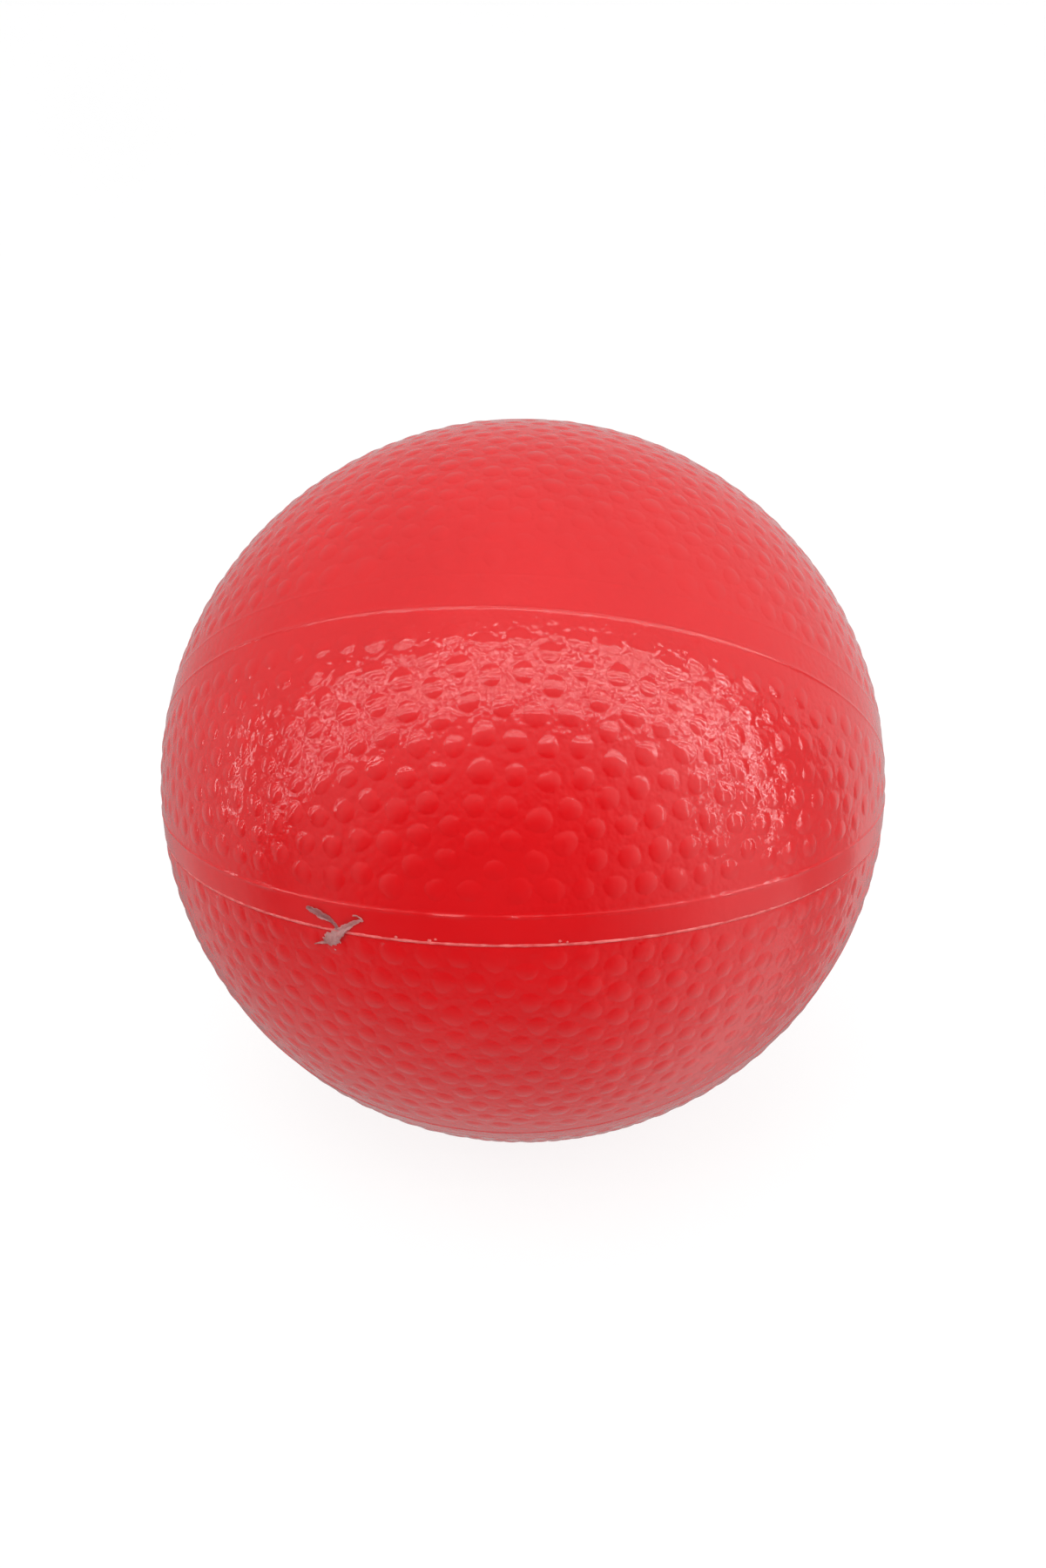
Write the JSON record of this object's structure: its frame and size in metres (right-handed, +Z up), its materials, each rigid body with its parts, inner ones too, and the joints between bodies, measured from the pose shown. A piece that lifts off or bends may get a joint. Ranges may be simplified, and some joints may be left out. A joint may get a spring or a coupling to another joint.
{
  "type": "playground ball",
  "caption": "Inflatable playground ball with a pebbled red cover in two lapped halves, smooth bands, a bladder and a needle valve with a pull-out plug",
  "frame": {"origin": "the ball's centre, in the plane of the joint between the two halves of the cover", "axes": "+Z is up and out through the valve; the smooth bands run round the ball through the points +X and -X; -Y is the front, where the tilted bands are highest above and lowest below the joint; +X is to the right seen from the front"},
  "size_m": [0.2156, 0.216, 0.2155],
  "materials": {
    "cover": "glossy red, moulded with pebbles",
    "flash": "glossy red, thin",
    "scrap": "dull greyish pink, torn",
    "bladder": "matt black",
    "valve_seat": "satin red",
    "valve_plug": "satin black"
  },
  "bodies": {
    "ball": {"cover_upper": "cover", "cover_lower": "cover", "seam_flash": "flash", "flash_scrap": "scrap", "bladder": "bladder", "valve_seat": "valve_seat"},
    "plug": {"valve_plug": "valve_plug"}
  },
  "joints": [
    {"name": "plug_pull", "type": "slide", "parent": "ball", "child": "plug", "axis": [0, 0, 1], "range_m": [0, 0.015]}
  ]
}
